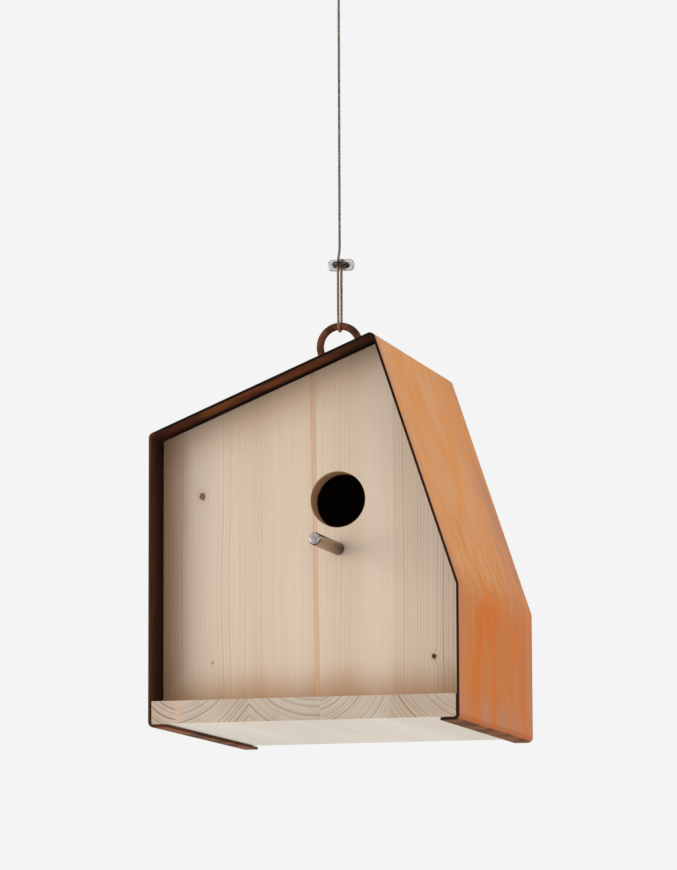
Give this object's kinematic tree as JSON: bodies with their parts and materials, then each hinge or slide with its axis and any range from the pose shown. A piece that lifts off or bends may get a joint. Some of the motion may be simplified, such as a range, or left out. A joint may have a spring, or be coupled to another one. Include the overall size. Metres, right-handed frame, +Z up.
{
  "type": "hanging birdhouse",
  "caption": "Hanging nest box: a folded rusty steel shell with an uneven roof round a sliding wooden box with a round entrance and a metal perch, on a wire rope.",
  "frame": {"origin": "inside the top of the upper rope loop, where a hook or a branch carries the birdhouse", "axes": "+X to the right and +Y to the back as seen from the entrance side, +Z up"},
  "size_m": [0.25, 0.287, 0.659],
  "materials": {
    "weathered_steel": "rusted, matt",
    "spruce": "planed, untreated",
    "beech": "turned, untreated",
    "stainless_steel": "satin",
    "wire_rope": "stranded",
    "plated_steel": "bright plated"
  },
  "bodies": {
    "hanging_rope": {"rope": "wire_rope", "upper_clip_bow": "plated_steel", "upper_clip_saddle": "plated_steel", "upper_clip_nuts": "plated_steel", "lower_clip_bow": "plated_steel", "lower_clip_saddle": "plated_steel", "lower_clip_nuts": "plated_steel"},
    "house": {"shell": "weathered_steel", "eye": "weathered_steel"},
    "nest_box": {"floor_stave_1": "spruce", "floor_stave_2": "spruce", "floor_stave_3": "spruce", "floor_stave_4": "spruce", "floor_stave_5": "spruce", "front_stave_1": "spruce", "front_stave_2": "spruce", "front_stave_3": "spruce", "front_stave_4": "spruce", "back_stave_1": "spruce", "back_stave_2": "spruce", "back_stave_3": "spruce", "back_stave_4": "spruce", "front_dowels": "beech", "back_dowels": "beech", "perch": "stainless_steel"}
  },
  "joints": [
    {"name": "swing", "type": "hinge", "parent": "hanging_rope", "child": "house", "pos_m": [0, 0, -0.325], "axis": [1, 0, 0], "range_deg": [-90, 90]},
    {"name": "nest_box_slide", "type": "slide", "parent": "house", "child": "nest_box", "axis": [0, -1, 0], "range_m": [0, 0.25]}
  ]
}
